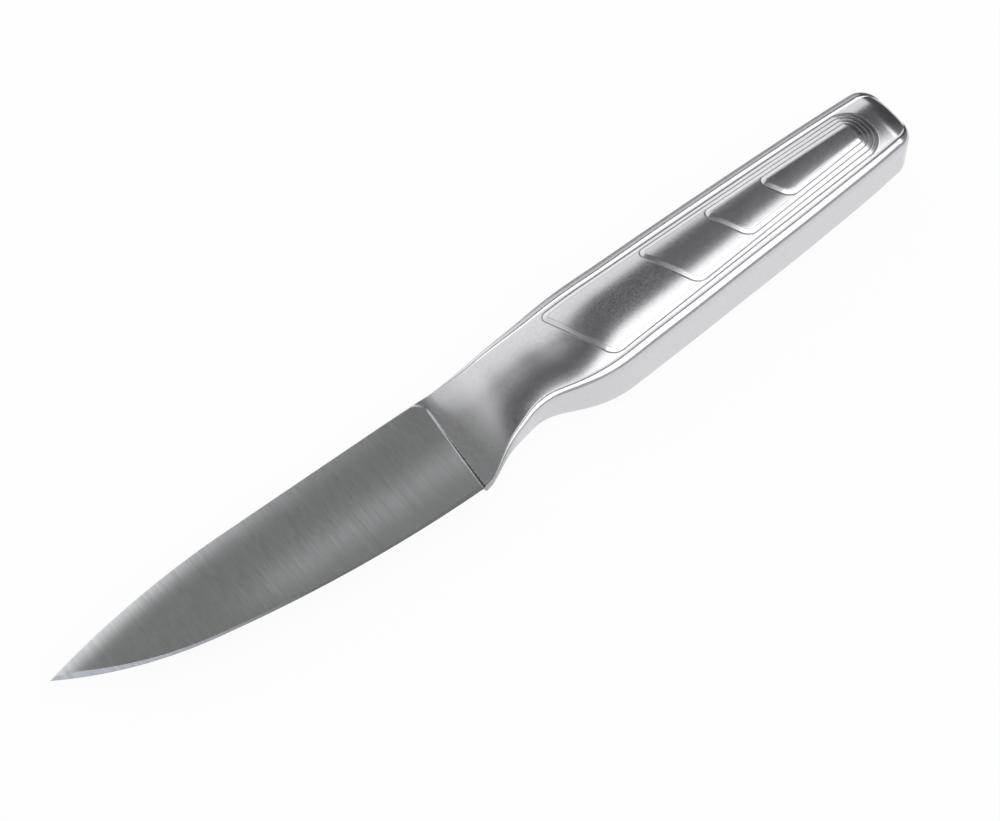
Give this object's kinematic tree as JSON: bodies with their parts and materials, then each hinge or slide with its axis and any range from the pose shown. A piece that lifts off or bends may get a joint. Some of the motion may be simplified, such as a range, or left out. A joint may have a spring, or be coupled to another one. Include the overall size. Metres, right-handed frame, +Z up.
{
  "type": "paring knife",
  "caption": "All-steel paring knife: a ground blade with a forged neck, welded to a hollow handle of two pressed shells with stepped terraces on both sides.",
  "frame": {"origin": "Middle of the knife's footprint as it lies on its right side, on the surface that it lies on.", "axes": "+X from the point of the blade to the butt of the handle, -Y to the cutting edge, +Z up, out of the left side."},
  "size_m": [0.2088, 0.025, 0.0163],
  "materials": {
    "blade_steel": "satin",
    "handle_steel": "satin",
    "weld_steel": "satin"
  },
  "bodies": {
    "root": {"blade": "blade_steel", "handle_shell_left": "handle_steel", "handle_shell_right": "handle_steel", "neck_weld": "weld_steel", "spine_seam_weld": "weld_steel", "belly_seam_weld": "weld_steel"}
  },
  "joints": []
}
